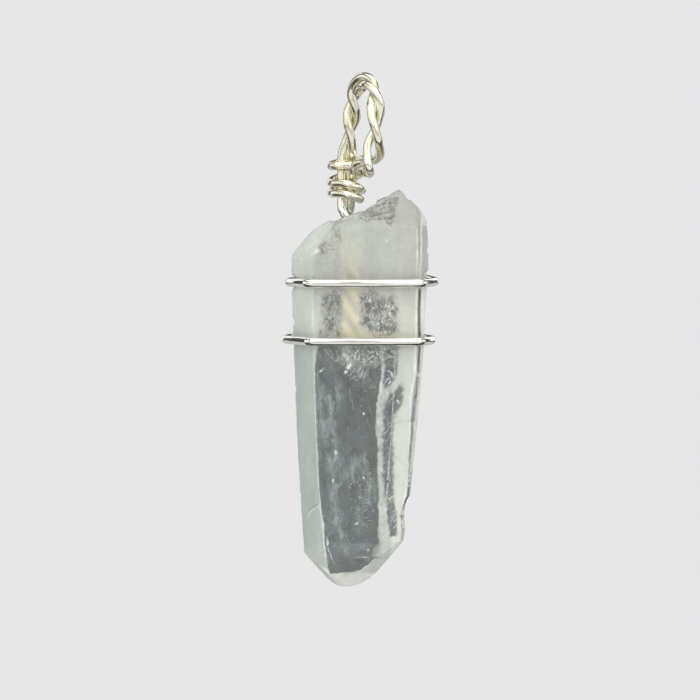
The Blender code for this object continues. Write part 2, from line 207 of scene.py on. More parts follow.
# Clear places in the milky front, each with its outline in the photograph. soft and rag say how soft and how
# frayed its edge is in pixels, cracks and feathers how full it is of small bright cracks and of slanting
# strokes, and dim how much darker it is.
clearAreas = [
    dict(
        name="window", clear=1.0, soft=1.8, rag=0.9,
        outline=[
            (319, 344), (382, 344), (382, 352), (380, 386), (377, 396), (376, 419), (374.8, 429),
            (377.8, 449), (377, 469), (378, 488), (378, 542), (372, 549), (371, 562), (359, 571),
            (329.6, 573), (324.6, 557), (324.6, 523), (319.2, 503), (318.5, 456), (315.5, 425),
            (315, 365), (317, 352),
        ],
    ),
    dict(
        name="streak top", clear=0.96, soft=3.6, cracks=0.6, feathers=1.0, rag=1.8,
        outline=[(384, 344), (398, 344), (397.5, 372), (396, 378), (390, 384), (385, 388), (383.5, 380)],
    ),
    dict(
        name="streak", clear=0.86, soft=5.2, cracks=0.34, feathers=0.6, rag=2.0,
        outline=[
            (396, 389), (401.5, 384), (402, 396), (401, 404), (398, 409), (394, 414), (392.3, 430),
            (392.3, 455), (393, 480), (394, 504), (387, 504), (383.6, 486), (383.2, 440), (383.6, 416),
            (385, 405), (389.5, 396),
        ],
    ),
    dict(
        name="streak foot", clear=0.78, soft=3.0, cracks=0.5, feathers=0.8, rag=1.5, dim=0.4,
        outline=[(386.5, 503), (394.5, 503), (396, 520), (396.5, 535), (390, 536), (388, 520)],
    ),
    dict(
        name="window foot", clear=0.5, soft=8, rag=1.5,
        outline=[(340, 560), (366, 548), (378, 534), (381, 544), (374, 560), (361, 571), (345, 574)],
    ),
    dict(
        name="left patch", clear=0.41, soft=10, cracks=0.8, rag=4,
        outline=[(323, 297), (341, 290), (341, 338), (320, 338)],
    ),
    dict(
        name="right patch", clear=0.42, soft=9, cracks=1.0, rag=3,
        outline=[
            (361, 294), (372, 291), (379, 298), (386, 300), (393, 297), (398, 306), (398, 334),
            (385, 338), (372, 334), (361, 326),
        ],
    ),
    dict(
        name="broken hollow", clear=0.2, soft=2.5, cracks=0.7, rag=0.8,
        outline=[
            (358, 216), (366, 207), (384, 200), (392, 195), (398, 197), (395, 206), (391, 228),
            (384, 219), (372, 219), (366.6, 221),
        ],
    ),
    dict(
        name="shoulder", clear=0.24, soft=6, cracks=0.7, rag=2.5,
        outline=[(319, 246), (331, 240), (334, 250), (320, 256)],
    ),
    dict(
        name="high shoulder", clear=0.16, soft=6, cracks=0.5, rag=2.5,
        outline=[(331, 229), (341, 228), (342, 241), (332, 243)],
    ),
    dict(
        name="narrow facet", clear=0.3, soft=2.5, cracks=0.1, rag=0.5,
        outline=[(422, 226), (428, 226), (428, 286), (421.5, 286)],
    ),
    dict(
        name="cool cloud", clear=0.12, soft=14, cracks=0.2, rag=5,
        outline=[(318, 252), (340, 246), (338, 270), (316, 268)],
    ),
]
# Painted highlights along edges, thin cracks and painted glints drawn on the front: width, strength and
# points, in the photograph's pixels. A strength over 1 fills the line's grain, and one under 1 makes it
# faint.
brightLines = [
    (2.4, 1, [(312.8, 254), (317.4, 250.8)]),
    (0.9, 1, [(386, 240.6), (387, 241.4)]),
    (0.8, 1, [(318.7, 503.6), (323.5, 521), (324.7, 556), (329, 573)]),
    (1.1, 1, [
        (326.8, 219.7), (340.1, 220.2), (346.2, 217.7), (353.4, 215.3), (360.5, 217.7),
        (366.6, 220.7), (372.8, 218.7), (382, 218.7), (385, 221),
    ]),
    (1.0, 1, [(417, 291), (416, 335), (414.7, 372), (410, 397), (409.8, 421), (408, 481), (401, 514)]),
    (0.9, 1, [(421.5, 222), (421, 250), (419, 290)]),
    (0.9, 1, [(422.3, 290), (422, 318), (421.5, 336)]),
    (0.65, 1, [(318.7, 505), (313.7, 508.4), (309.3, 512), (308.3, 516.5)]),
    (0.8, 1, [(324.6, 350), (330.5, 356.8), (336.5, 361.3), (344.4, 364.3)]),
    (0.5, 1, [(354, 557.2), (380, 555.5)]),
    (0.5, 1, [(381.8, 349), (381.4, 368), (380.6, 392)]),
    (1.0, 1, [(329.6, 573), (359.3, 571), (371, 562)]),
    (2.2, 2.2, [(347.6, 367.8), (349.8, 365.2)]),
    (1.7, 2.2, [(345.2, 372.8), (346.6, 371)]),
    (1.1, 1.4, [(320.3, 371.5), (324.7, 368.2)]),
    (1.3, 2.0, [(391.2, 373), (393.4, 376.6)]),
    (1.2, 1.8, [(397.6, 400.6), (399, 403.4)]),
    (1.2, 1.6, [(363.2, 413), (363.8, 414)]),
    (1.7, 1, [(335.4, 450.6), (336.2, 453.2)]),
    (1.2, 1.8, [(332.6, 479.6), (333, 480.8)]),
    (1.1, 1.5, [(363, 476.8), (364.6, 478)]),
    (1.1, 1.5, [(356, 523.4), (358, 522.2)]),
    (1.1, 1.5, [(368.2, 549), (368.8, 550)]),
    (4.6, 1, [(344.6, 354.6), (350, 360.6)]),
    (4.0, 0.55, [(328.6, 396), (333, 432), (336, 455), (333.4, 482)]),
    (5.0, 0.55, [(334, 512), (340, 530), (346, 550)]),
    (3.2, 0.5, [(387.6, 416), (387.2, 442), (388.6, 482)]),
]
# Dark seams and cracks, drawn in the same way.
darkLines = [
    (1.5, 1, [(419.5, 290), (418.6, 312), (419.3, 336), (418.8, 350), (418.4, 372)]),
    (2.2, 1, [(417.4, 378), (415.8, 390), (414, 408), (412.4, 421)]),
    (1.5, 1, [(412.4, 421), (411.8, 436), (409.8, 455), (409, 481), (407, 500), (402, 512)]),
    (2.0, 1, [(401.5, 515), (404, 519), (402.5, 526)]),
    (0.8, 1, [(352, 558.6), (381, 557)]),
    (0.8, 0.3, [(318, 503.6), (313, 506.8), (309, 510.2)]),
    (0.8, 0.16, [(395.5, 422), (409, 421)]),
    (0.8, 0.18, [(392.5, 455), (399, 460), (406, 465)]),
]


def smoothed(share):
    return share * share * (3 - 2 * share)


def outlined(x, y, outline, soft):
    # 1 inside the outline, 0 outside, over a soft edge.
    enclosed = np.zeros(len(x), bool)
    for (ax, ay), (bx, by) in zip(outline, outline[1:] + outline[:1]):
        if ay != by:
            crosses = (ay > y) != (by > y)
            enclosed ^= crosses & (x < ax + (y - ay) * (bx - ax) / (by - ay))
    away = lineDistance(x, y, outline + outline[:1])
    return smoothed(np.clip(np.where(enclosed, away, -away) / soft + 0.5, 0, 1))


def lineDistance(x, y, points):
    # How far each place lies from the line through the points.
    nearest = np.full(len(x), 1e6)
    for (ax, ay), (bx, by) in zip(points[:-1], points[1:]):
        dx, dy = bx - ax, by - ay
        along = np.clip(((x - ax) * dx + (y - ay) * dy) / (dx * dx + dy * dy), 0, 1)
        nearest = np.minimum(nearest, np.hypot(x - ax - along * dx, y - ay - along * dy))
    return nearest


def drawn(x, y, lines):
    # Each line's strength on the line, fading out over its width.
    found = np.zeros(len(x))
    for width, strength, points in lines:
        near = np.clip(1.35 - lineDistance(x, y, points) / width, 0, 1)
        found = np.maximum(found, strength * near)
    return found


def within(x, low, high, soft):
    # 1 between low and high, 0 outside, over a soft edge.
    rise = np.clip((x - low) / soft + 0.5, 0, 1)
    fall = np.clip((high - x) / soft + 0.5, 0, 1)
    return smoothed(rise) * smoothed(fall)


def mergedCopy(node):
    # The CAD node's own faces in millimetres, with its loose triangles joined.
    shape = bmesh.new()
    shape.from_mesh(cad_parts[node].data)
    bmesh.ops.scale(shape, vec=(1 / mm,) * 3, verts=shape.verts)
    bmesh.ops.remove_doubles(shape, verts=shape.verts, dist=0.0005)
    return shape


def fineCopy(shape, size):
    # A close, even mesh over the shape.
    rough = bpy.data.meshes.new("roughCrystal")
    shape.to_mesh(rough)
    holder = newObject("roughCrystal", rough)
    remesh = holder.modifiers.new("close", "REMESH")
    remesh.mode = "VOXEL"
    remesh.voxel_size = size
    graph = bpy.context.evaluated_depsgraph_get()
    fine = bpy.data.meshes.new_from_object(holder.evaluated_get(graph))
    bpy.data.objects.remove(holder)
    return fine


def neighbourMeans(places, edges):
    # The middle of each point's neighbours.
    total = np.zeros_like(places)
    count = np.zeros(len(places))
    for a, b in ((0, 1), (1, 0)):
        np.add.at(total, edges[:, a], places[edges[:, b]])
        np.add.at(count, edges[:, a], 1)
    return total / count[:, None]


# Single chips, each at its place in the photograph, with its reach and depth in millimetres.
handChips = [
    dict(x=410, y=509, reach=1.6, deep=0.38),
    dict(x=405, y=521, reach=0.7, deep=0.16),
    dict(x=428, y=273.5, reach=0.45, deep=0.22),
    dict(x=429, y=346, reach=0.6, deep=0.15),
]
# Where the front runs into the broken top without a sharp edge: left, right, top and foot in the photograph.
faintEdges = [(393, 421, 214, 230), (308, 345, 218, 262), (326, 392, 211, 229)]


def onFaintEdge(mark):
    column = photo["originX"] + mark.x / photo["scale"]
    row = photo["originY"] - mark.z / photo["scale"]
    return mark.y < crystal["frontBefore"] and any(
        left < column < right and top < row < foot for left, right, top, foot in faintEdges
    )


def edgePoints(shape):
    # Points along the crystal's true edges.
    found = []
    least = math.radians(crystal["edgeAngle"])
    for edge in shape.edges:
        if len(edge.link_faces) == 2 and edge.calc_face_angle(0) > least:
            a, b = (vert.co for vert in edge.verts)
            count = max(2, math.ceil((b - a).length / crystal["edgeStep"]))
            found.extend(a.lerp(b, i / count) for i in range(count + 1))
    return found


def fieldOf(places, size, seed):
    # Smooth noise, -1 to 1, for each place.
    shift = Vector((seed * 7.1, seed * 3.3, seed * 5.7))
    return np.array([noise.noise(Vector(place) / size + shift) for place in places])


def normalsOf(mesh, places):
    # The mesh's normals once its points are moved to the places.
    mesh.vertices.foreach_set("co", places.astype(np.float32).ravel())
    mesh.update()
    found = np.zeros(len(mesh.vertices) * 3, np.float32)
    mesh.vertex_normals.foreach_get("vector", found)
    return found.reshape(-1, 3).astype(float)


def makeCrystal():
    shape = mergedCopy("crystal")
    fine = fineCopy(shape, crystal["mesh"])
    tree = BVHTree.FromBMesh(shape)
    places = np.array([tree.find_nearest(vert.co)[0] for vert in fine.vertices])
    edges = np.zeros(len(fine.edges) * 2, np.int32)
    fine.edges.foreach_get("vertices", edges)
    edges = edges.reshape(-1, 2)

    edgeMarks = [mark for mark in edgePoints(shape) if not onFaintEdge(mark)]
    near = KDTree(len(edgeMarks))
    for i, mark in enumerate(edgeMarks):
        near.insert(mark, i)
    near.balance()
    toEdge = np.array([near.find(Vector(place))[2] for place in places])
    shape.free()

    # The edges are rounded, and then the faces between them evened out.
    nearEdge = np.clip(1.4 - toEdge / crystal["edgeRound"], 0, 1)[:, None]
    inFace = np.clip(toEdge - 0.5, 0, 1)[:, None]
    for rounds, share, where in ((3, 0.5, nearEdge), (10, 0.6, inFace)):
        for _ in range(rounds):
            places = places + (neighbourMeans(places, edges) - places) * share * where

    tip = places[places[:, 2].argmax()]
    places[:, 2] += crystal["tipRise"] * np.exp(-np.sum((places - tip) ** 2, axis=1))
    normals = normalsOf(fine, places)
    photoRow = photo["originY"] - places[:, 2] / photo["scale"]
    photoColumn = photo["originX"] + places[:, 0] / photo["scale"]
    # Where the top is broken, and where a face stands upright.
    broken = np.clip((crystal["breakRow"] - photoRow) / 14, 0, 1) * np.clip(1.4 - abs(normals[:, 1]), 0, 1)
    broken *= 1 - within(photoColumn, 397, 440, 8) * (normals[:, 1] < 0)
    side = np.clip(1.2 - 1.6 * abs(normals[:, 2]), 0, 1)

    # How far each point moves out: waves, growth lines, the broken top, its hollow and the chips.
    lift = crystal["waves"] * fieldOf(places, 4.6, 1)
    lift += 0.4 * crystal["waves"] * fieldOf(places, 1.7, 2)
    long = crystal["striaeLong"]
    striaPlace = np.stack([places[:, 0] / long, places[:, 1] / long, places[:, 2]], axis=1)
    striae = fieldOf(striaPlace, 0.42, 3) + 0.6 * fieldOf(striaPlace, 0.19, 4)
    lift += crystal["striae"] * striae * side * (1 - 0.6 * (normals[:, 1] < -0.9))
    scallops = abs(fieldOf(places, 1.3, 5)) + 0.5 * abs(fieldOf(places, 0.6, 6))
    lift -= crystal["breakRelief"] * broken * scallops
    hollow = next(area for area in clearAreas if area["name"] == "broken hollow")
    sunk = crystal["hollow"] * outlined(photoColumn, photoRow, hollow["outline"], 3)
    lift -= sunk * (0.5 + scallops) * (normals[:, 1] < 0.1)
    draw = np.random.default_rng(crystal["seed"])
    for _ in range(crystal["chips"]):
        centre = np.array(edgeMarks[draw.integers(len(edgeMarks))])
        radius = crystal["chipLeast"] + crystal["chipMore"] * draw.random() ** 3
        away = np.linalg.norm(places - centre, axis=1) / radius
        lift -= crystal["chipDeep"] * radius * np.clip(1 - away**2, 0, 1)
    for row in handChips:
        away = np.hypot(places[:, 0] - photoX(row["x"]), places[:, 2] - photoZ(row["y"])) / row["reach"]
        lift -= row["deep"] * np.clip(1 - away**2, 0, 1)
    places = places + normals * lift[:, None]

    attributes = crystalAttributes(places, normals, toEdge, photoColumn, photoRow)
    fine.vertices.foreach_set("co", (places * mm).astype(np.float32).ravel())
    fine.update()
    for name, values in attributes.items():
        fine.attributes.new(name, "FLOAT", "POINT").data.foreach_set("value", values.astype(np.float32))
    fine.shade_smooth()
    fine.materials.append(crystalMaterial())
    return newObject("quartz_point", fine)


def crystalAttributes(places, normals, toEdge, column, row):
    # What the quartz's finish reads at each point. Here within is given columns and rows of the photograph.
    wobble = fieldOf(places, 2.6, 8)
    ripple = fieldOf(places, 0.9, 9)
    fray = fieldOf(places, 0.45, 10)
    front = np.clip((-normals[:, 1] - 0.2) / 0.2, 0, 1)
    back = np.clip((normals[:, 1] - 0.1) / 0.3, 0, 1)
    leftFacet = np.clip((-normals[:, 0] - 0.5) / 0.15, 0, 1) * front

    found = {name: np.zeros(len(places)) for name in ("clear", "cracks", "feathers", "dim")}
    for area in clearAreas:
        across = column + area["rag"] * (0.6 * wobble + 0.7 * ripple + fray)
        down = row + area["rag"] * (0.8 * ripple - 0.5 * wobble)
        share = outlined(across, down, area["outline"], area["soft"])
        for name in found:
            found[name] = np.maximum(found[name], share * area.get(name, 0))
    clear, cracks, feathers, dim = found.values()

    # The cracked and veiled places under the lower wire, the cracks left of the streak, and the smoke.
    crackedTop = 0.55 * within(column, 318, 398, 5) + 0.35 * within(column, 338, 398, 12)
    cracks = np.maximum(cracks, crackedTop * within(row + 5 * wobble, 340, 364, 12))
    feathered = 0.6 * within(row + 5 * wobble, 344, 386, 12) * within(column, 340, 384, 10)
    feathers = np.maximum(feathers, feathered)
    veiled = within(row + 7 * wobble + 3 * ripple, 330, 366, 16)
    veiled *= 0.28 + 0.17 * within(column, 336, 398, 12)
    clear *= 1 - veiled * within(row, 342, 400, 2)
    cracks = np.maximum(cracks, 0.38 * within(column, 374, 394, 5) * within(row, 384, 540, 20))
    wisps = within(column + 2 * wobble, 312, 340, 14) * within(row, 372, 568, 24)
    wisps = np.maximum(wisps, 0.7 * within(column, 338, 378, 18) * within(row, 430, 566, 50))

    facing = np.clip((0.12 - normals[:, 1]) / 0.15, 0, 1)
    # Painted highlights and glints, with the thin cracks, on faces turned to the front.
    lines = drawn(column, row, brightLines) * facing
    dark = drawn(column, row, darkLines) * facing
    # The back is clear behind the window and the stem.
    behindWindow = within(column, 312, 387, 5) * within(row, 341, 575, 8)
    stem = within(column, 340, 363, 3) * within(row, 288, 342, 10)
    milk = 1 - front * clear
    milk *= 1 - back * np.clip(behindWindow + stem + 0.9 * clear, 0, 1)
    milk *= 1 - 0.72 * dark

    # Warmer at the top, the right and the foot, and cooler down the left.
    right = within(column, 392, 440, 6)
    left = within(column, 280, 315, 5)
    top = np.clip((345 - row) / 20, 0, 1)
    warmth = 0.55 + 0.25 * top + 0.3 * right - 0.45 * left * np.clip((row - 300) / 60, 0, 1)
    warmth += 0.4 * within(row, 560, 600, 8)
    # Pale edge wear with a painted highlight along the edges, less beside the window,
    # on faces that look up and behind the window.
    edgeWearAndHighlight = np.clip(1.15 - toEdge / crystal["edgeWearAndHighlight"], 0, 1)
    edgeWearAndHighlight *= 1 - 0.85 * within(column, 304, 328, 4) * within(row, 250, 520, 20) * front
    edgeWearAndHighlight *= 1 - 0.75 * np.clip(2 * normals[:, 2] - 0.2, 0, 1)
    edgeWearAndHighlight *= 1 - 0.92 * np.clip(0.4 + normals[:, 1] * 2, 0, 1) * within(row, 343, 575, 8)
    # The stem behind, painted on the front as a soft cream rope seen through the milk, with its twist painted
    # in light and dark, and the painted run of the band on the back.
    backRun = within(column, 328, 396, 5) * within(row, 331, 341, 2)
    twist = 0.5 + 0.5 * np.cos((row - 1.47 * (column - 344) - 302) * math.tau / 23)
    blur = 3 + 6 * np.clip((300 - row) / 50, 0, 1)
    cream = within(column + 0.8 * wobble, 342, 360, blur) * within(row, 228, 342, 20)
    cream *= (0.16 + 0.84 * np.clip((row - 240) / 60, 0, 1)) * (0.45 + 0.55 * twist)
    cream = np.clip(cream + 0.8 * backRun, 0, 1) * front
    # How light the milk is, mostly painted light and shade: painted shade above the bands, painted light
    # right of the window, between the bands, on the left facet, on the narrow facet at the top and at the
    # foot, and painted highlights along the rope.
    lit = within(column, 391, 440, 3) * within(row, 341, 600, 6)
    toneAndPaintedLight = 0.86 - 0.05 * within(row, 150, 285, 8)
    toneAndPaintedLight += 0.10 * lit
    toneAndPaintedLight += 0.09 * lit * np.clip((row - 370) / 40, 0, 1)
    toneAndPaintedLight += 0.10 * within(row, 285, 342, 6) * within(column, 396, 440, 5)
    toneAndPaintedLight += 0.035 * within(row, 240, 342, 20) * within(column, 306, 322, 9)
    toneAndPaintedLight += leftFacet * (0.05 + 0.27 * top)
    toneAndPaintedLight += 0.34 * within(column, 421, 440, 3) * top
    toneAndPaintedLight += 0.72 * within(row - 0.1 * (column - 345), 570, 600, 5) * front - dim
    toneAndPaintedLight += 0.14 * (twist - 0.6) * within(column, 342, 360, 4) * within(row, 270, 342, 12)
    toneAndPaintedLight += 0.03 * ripple + 0.03 * wobble - 0.42 * dark
    return dict(
        milk=milk, cracks=cracks * front, feathers=feathers * front, wisps=wisps * front, lines=lines,
        warmth=warmth, edgeWearAndHighlight=edgeWearAndHighlight, cream=cream, toneAndPaintedLight=toneAndPaintedLight,
    )


def crystalMaterial():
    made, tree, shader = newMaterial("milky_quartz")
    place = objectPlace(tree)
    milk = attribute(tree, "milk")
    cracks = attribute(tree, "cracks")
    clouds = noiseAt(tree, place, 3.2, 4, (1, 1, 1.8))
    grain = noiseAt(tree, place, 0.42, 5, (1, 1, 2.2), 0.6)
    crackle = noiseAt(tree, place, 0.26, 4, (1, 1, 1.7), 1.6)
    patchy = noiseAt(tree, place, 1.1, 3)
    mottle = noiseAt(tree, place, 0.6, 5, (1, 1, 1.3), 0.8)
    curls = noiseAt(tree, place, 0.7, 4, (1, 1, 1.4), 0.9)
    smoke = noiseAt(tree, place, 1.3, 9, (1, 1, 2.0), 1.0)
    brushed = noiseAt(tree, place, 0.5, 3, (1, 1, 9))
    strokes = noiseAt(tree, place, 0.2, 2, (1, 1, 5), 0.3, lean=-40)

    # The milk, thinner in its dark pits.
    body = times(tree, milk, ranged(tree, clouds, 0.3, 0.7, 0.82, 0.93))
    body = times(tree, body, ranged(tree, grain, 0.25, 0.75, 0.96, 1.04))
    body = times(tree, body, ranged(tree, brushed, 0.3, 0.7, 0.985, 1.015))
    deep = times(tree, cracks, ranged(tree, mottle, 0.38, 0.56, 0.52, 0.0))
    body = times(tree, body, maths(tree, "SUBTRACT", 1, deep))
    # Bright flecks, fine curling veins and slanting strokes in the cracked places.
    flecks = times(tree, cracks, ranged(tree, crackle, 0.52, 0.64, 0.0, 0.9))
    flecks = times(tree, flecks, ranged(tree, patchy, 0.3, 0.55, 0.25, 1.0))
    toCurl = maths(tree, "ABSOLUTE", maths(tree, "SUBTRACT", curls, 0.5))
    veins = times(tree, ranged(tree, toCurl, 0.008, 0.024, 0.85, 0.0), ranged(tree, mottle, 0.42, 0.56))
    flecks = maths(tree, "MAXIMUM", flecks, times(tree, cracks, veins))
    barbs = times(tree, attribute(tree, "feathers"), ranged(tree, strokes, 0.52, 0.64))
    barbs = times(tree, barbs, ranged(tree, patchy, 0.35, 0.6, 0.2, 1.0))
    flecks = maths(tree, "MAXIMUM", flecks, barbs)
    # Pale edge wear with its painted highlight along the edges.
    wornAndHighlit = times(tree, attribute(tree, "edgeWearAndHighlight"), ranged(tree, grain, 0.35, 0.65, 0.1, 0.75))
    # Painted highlights, glints and thin cracks drawn on the front.
    drawnLines = times(tree, attribute(tree, "lines"), ranged(tree, grain, 0.3, 0.65, 0.2, 0.75))
    bright = maths(tree, "MAXIMUM", wornAndHighlit, drawnLines)
    bright = maths(tree, "MAXIMUM", bright, flecks, clamp=True)
    # A thin haze and drifting smoke where it is clear.
    drift = times(tree, attribute(tree, "wisps"), ranged(tree, smoke, 0.40, 0.74, 0.0, 0.30))
    haze = maths(tree, "ADD", ranged(tree, patchy, 0.3, 0.7, 0.07, 0.14), drift)
    haze = maths(tree, "MAXIMUM", body, haze)
    opaque = maths(tree, "MAXIMUM", haze, times(tree, bright, 0.85), clamp=True)

    warmer = ranged(tree, clouds, 0.3, 0.7, -0.08, 0.08)
    warmth = maths(tree, "ADD", attribute(tree, "warmth"), warmer, clamp=True)
    tint = mixedColour(tree, warmth, crystal["coolColour"], crystal["warmColour"])
    # The painted cream rope of the stem and band seen through the milk.
    tint = mixedColour(tree, times(tree, attribute(tree, "cream"), 0.85), tint, crystal["creamColour"])
    # The milk's tone with its painted light and shade.
    light = attribute(tree, "toneAndPaintedLight")
    shaded = addNode(tree, "ShaderNodeVectorMath", {0: tint, "Scale": light}, operation="SCALE")
    tint = mixedColour(tree, ranged(tree, body, 0.0, 0.35), crystal["hazeColour"], shaded.outputs[0])
    colour = mixedColour(tree, ranged(tree, opaque, 0.0, 0.25), crystal["clearColour"], tint)
    # Pale where worn, cracked or flecked, and where highlights and glints are painted.
    colour = mixedColour(tree, times(tree, bright, 0.8), colour, crystal["paleWearAndHighlightColour"])

    bump = addNode(tree, "ShaderNodeBump", {"Strength": 0.12, "Distance": 0.02 * mm, "Height": grain})
    feed(tree, shader, {
        "Base Color": colour,
        "Transmission Weight": maths(tree, "SUBTRACT", 1, opaque),
        "Roughness": ranged(tree, opaque, 0.0, 1.0, 0.03, 0.24),
        "IOR": crystal["index"],
        "Normal": bump.outputs[0],
    })
    return made


# What lies inside the crystal

inside = dict(
    flakeSize=0.2,  # millimetres
    depth=2.6,  # millimetres behind the front where the strewn flakes' middle lies
    spread=1.7,  # and how far they lie before and behind it
    turn=2.4,  # radians that they turn at most
    singleDepth=1.6,  # millimetres behind the front where the single flakes lie
    singleFlat=0.3,  # a single flake's depth, of its width
    singleRough=0.5,  # how uneven it is
    veilRipple=1.1,  # millimetres that the veils wave in depth
    colour=(0.93, 0.96, 0.945),
    flakeGlow=0.10,  # painted glow of the flakes, standing in for light that the stone scatters into them
    # painted glow of the veils
    veilGlow=0.24,
    seed=5,
)
# Cloudy curtains, each from its top to its foot in the photograph: row, middle and half its width. deep is in
# millimetres behind the front.
curtains = [
    dict(
        deep=2.4,
        rows=[(352, 330, 8), (395, 334, 12), (440, 331, 12), (480, 337, 12), (520, 335, 12), (562, 346, 9)],
    ),
    dict(deep=3.6, rows=[(350, 323, 6), (390, 324, 9), (450, 327, 8), (500, 331, 9), (545, 338, 12)]),
    dict(deep=4.6, rows=[(348, 352, 16), (362, 356, 22), (378, 362, 18), (396, 368, 8)]),
    dict(deep=3.0, rows=[(436, 356, 10), (470, 360, 20), (505, 362, 22), (540, 358, 14)]),
]
# Flakes strewn at random: the field's middle and half its width and height in the photograph, how many on
# average, and their least and most scale across, in depth and along. The last are long needles.
flakeFields = [
    dict(x=362, y=492, wide=15, tall=34, count=102, least=(0.10, 0.06, 0.25), most=(0.34, 0.16, 1.1)),
    dict(x=366, y=487, wide=10, tall=20, count=51, least=(0.16, 0.08, 0.3), most=(0.42, 0.16, 1.35)),
    dict(x=356, y=523, wide=18, tall=22, count=42.5, least=(0.12, 0.08, 0.3), most=(0.3, 0.16, 0.9)),
    dict(x=355, y=460, wide=32, tall=104, count=70, least=(0.12, 0.05, 0.15), most=(0.4, 0.2, 0.7)),
    dict(x=366, y=372, wide=20, tall=20, count=70, least=(0.12, 0.05, 0.3), most=(0.3, 0.12, 1.3)),
    dict(x=350, y=455, wide=26, tall=95, count=34, turn=0.45, least=(0.08, 0.07, 1), most=(0.14, 0.1, 3.6)),
]
# Single flakes: column and row in the photograph, length and width in millimetres, lean in degrees.
singleFlakes = [
    (348.5, 366.5, 0.72, 0.55, 25),
    (345.8, 372, 0.48, 0.42, -30),
    (389.5, 372, 0.75, 0.16, -42),
    (391.5, 376, 0.6, 0.16, -42),
    (398, 402, 0.45, 0.2, -50),
    (363.5, 413.5, 0.26, 0.26, 0),
    (350, 391, 0.75, 0.07, -14),
    (352.5, 403, 0.9, 0.07, -8),
    (322, 369, 0.5, 0.2, 40),
    (330.5, 413, 0.5, 0.22, -35),
    (367.5, 461.5, 0.55, 0.13, -25),
    (363.5, 477.5, 0.3, 0.18, 70),
    (335.8, 452, 0.5, 0.42, 10),
    (332.8, 480, 0.26, 0.26, 0),
    (356.5, 523, 0.42, 0.2, 62),
    (367, 525.6, 0.2, 0.2, 0),
    (332, 521.8, 0.24, 0.2, 0),
    (325, 516, 0.5, 0.16, -50),
    (368.5, 549.5, 0.2, 0.2, 0),
    (371, 351.5, 0.75, 0.14, 80),
    (372, 387, 1.0, 0.09, 62),
    (355.5, 380, 0.3, 0.16, 30),
    (386.5, 358, 0.7, 0.1, -48),
    (394, 366, 0.55, 0.09, -40),
]


def scatterTree():
    # Geometry nodes that scatter small lens-shaped flakes before and behind a sheet.
    tree, given = newTree("flakes_inside", {
        "Float": ("Density", "Size", "Spread"),
        "Vector": ("Least Scale", "Most Scale", "Least Turn", "Most Turn"),
        "Int": ("Seed",),
        "Material": ("Look",),
    })
    points = addNode(
        tree,
        "GeometryNodeDistributePointsOnFaces",
        {"Mesh": given["Geometry"], "Density": given["Density"], "Seed": given["Seed"]},
    )
    away = addNode(
        tree,
        "FunctionNodeRandomValue",
        {2: times(tree, given["Spread"], -1), 3: given["Spread"], "Seed": given["Seed"]},
        data_type="FLOAT",
    )
    shift = addNode(tree, "ShaderNodeCombineXYZ", {"Y": away.outputs[1]})
    placed = addNode(
        tree, "GeometryNodeSetPosition", {"Geometry": points.outputs["Points"], "Offset": shift.outputs[0]}
    )
    scale, turn = (
        addNode(
            tree,
            "FunctionNodeRandomValue",
            {0: given["Least " + name], 1: given["Most " + name], "Seed": seed},
            data_type="FLOAT_VECTOR",
        )
        for name, seed in (("Scale", 7), ("Turn", 9))
    )
    lens = addNode(tree, "GeometryNodeMeshIcoSphere", {"Radius": given["Size"], "Subdivisions": 2})
    copies = addNode(
        tree,
        "GeometryNodeInstanceOnPoints",
        {
            "Points": placed.outputs[0],
            "Instance": lens.outputs[0],
            "Rotation": turn.outputs[0],
            "Scale": scale.outputs[0],
        },
    )
    return endTree(tree, copies.outputs[0], given["Look"])


def curtainGrid(row, steps=28, across=8):
    # Points and faces of one curtain, rippled in depth, with its fade towards its sides and ends.
    y, middle, wide = (np.array(column, float) for column in zip(*row["rows"]))
    points, fades = [], []
    for i in range(steps + 1):
        down = y[0] + (y[-1] - y[0]) * i / steps
        centre = np.interp(down, y, middle)
        half = np.interp(down, y, wide)
        for j in range(across + 1):
            share = 2 * j / across - 1
            place = Vector((photoX(centre + share * half), 0, photoZ(down)))
            ripple = noise.noise(Vector((place.x * 0.9, row["deep"] * 3, place.z * 0.35)))
            place.y = frontAt + row["deep"] + inside["veilRipple"] * ripple
            points.append(place * mm)
            ends = min(1, 5 * i / steps, 5 * (1 - i / steps))
            fades.append((1 - share * share) * ends)
    corners = (i * (across + 1) + j for i in range(steps) for j in range(across))
    faces = [(a, a + 1, a + across + 2, a + across + 1) for a in corners]
    return points, faces, fades


def makeCurtains():
    points, faces, fades = [], [], []
    for row in curtains:
        morePoints, moreFaces, moreFades = curtainGrid(row)
        faces.extend(tuple(i + len(points) for i in corners) for corners in moreFaces)
        points.extend(morePoints)
        fades.extend(moreFades)
    mesh = bpy.data.meshes.new("cloudy_veils")
    mesh.from_pydata(points, [], faces)
    mesh.attributes.new("fade", "FLOAT", "POINT").data.foreach_set("value", fades)
    mesh.shade_smooth()
    mesh.materials.append(veilMaterial())
    return newObject("cloudy_veils", mesh)


def setGlowing(tree, shader, roughness, glow):
    # The pale colour of what lies inside, with a little painted glow standing in for the light that reaches
    # it through the stone.
    feed(tree, shader, {
        "Base Color": inside["colour"],
        "Roughness": roughness,
        "Emission Color": inside["colour"],
        "Emission Strength": glow,
    })


